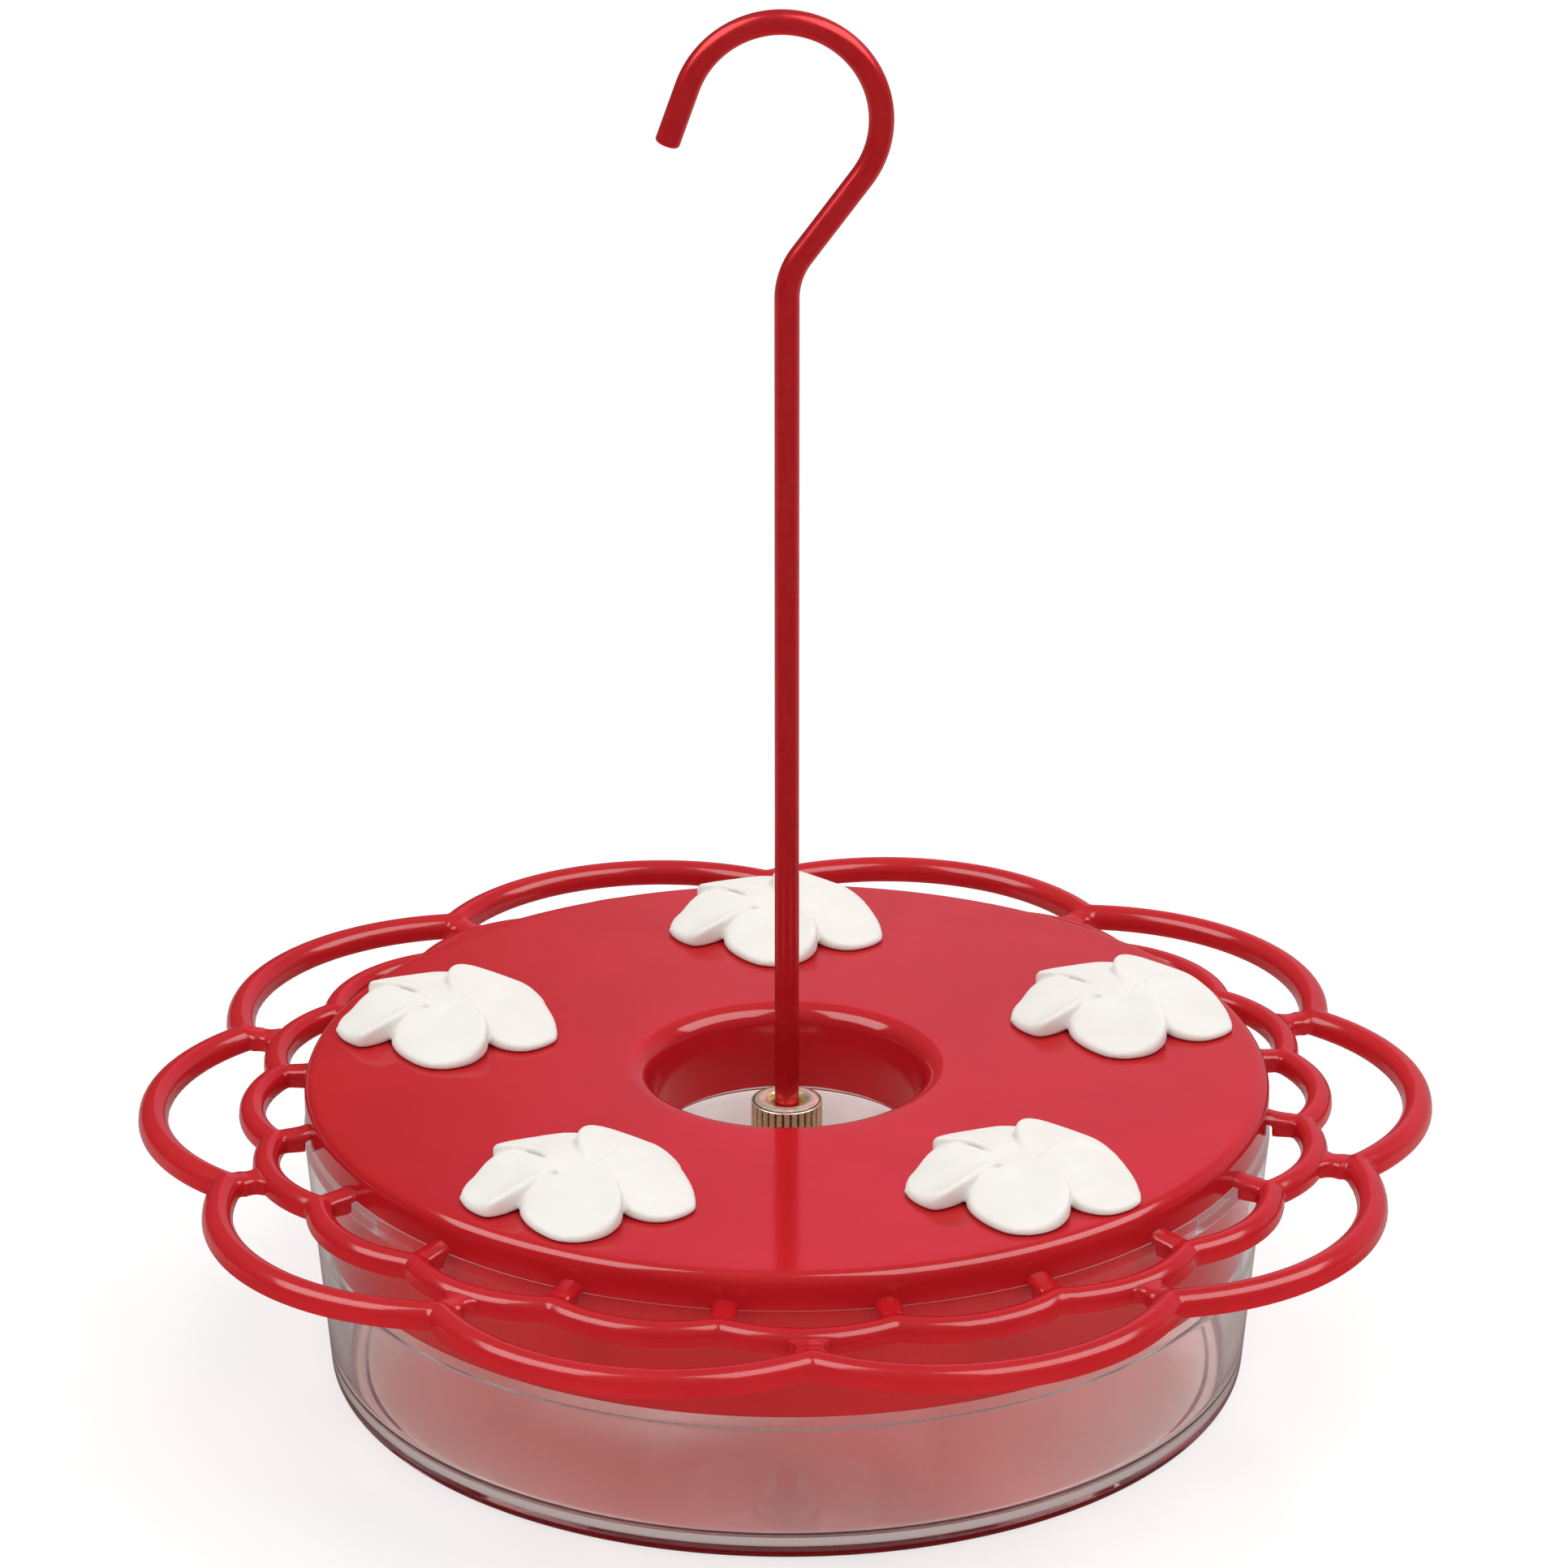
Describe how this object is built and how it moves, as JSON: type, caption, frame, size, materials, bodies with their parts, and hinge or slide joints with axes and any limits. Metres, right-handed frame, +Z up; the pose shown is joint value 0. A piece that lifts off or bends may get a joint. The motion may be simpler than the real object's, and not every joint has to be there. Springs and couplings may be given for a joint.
{
  "type": "hummingbird feeder",
  "caption": "Hanging saucer feeder: clear bowl, red cover with flower ports, scalloped perch and centre well, on a hooked rod held by a knurled nut.",
  "frame": {"origin": "centre of the bowl's underside, where the feeder stands", "axes": "+Z up along the rod, the hook lies in the XZ plane with its mouth towards -X"},
  "size_m": [0.2548, 0.249, 0.2723],
  "materials": {
    "clear_plastic": "clear polished moulding",
    "red_plastic": "satin gloss red moulding",
    "painted_rod": "red powder coat, slight orange peel",
    "brass": "turned and knurled brass",
    "plain_steel": "zinc plated",
    "white_plastic": "matte white moulding"
  },
  "bodies": {
    "base": {"bowl": "clear_plastic", "hanging_rod": "painted_rod", "lower_washer": "plain_steel", "lock_nut": "plain_steel"},
    "lid": {"cover": "red_plastic", "flower_port_1": "white_plastic", "flower_port_2": "white_plastic", "flower_port_3": "white_plastic", "flower_port_4": "white_plastic", "flower_port_5": "white_plastic"},
    "nut": {"thumb_nut": "brass"}
  },
  "joints": [
    {"name": "cover_lift", "type": "slide", "parent": "base", "child": "lid", "axis": [0, 0, 1], "range_m": [0, 0.15]},
    {"name": "nut_turn", "type": "hinge", "parent": "base", "child": "nut", "pos_m": [0, 0, 0.0485], "axis": [0, 0, 1], "range_deg": [0, 360]}
  ]
}
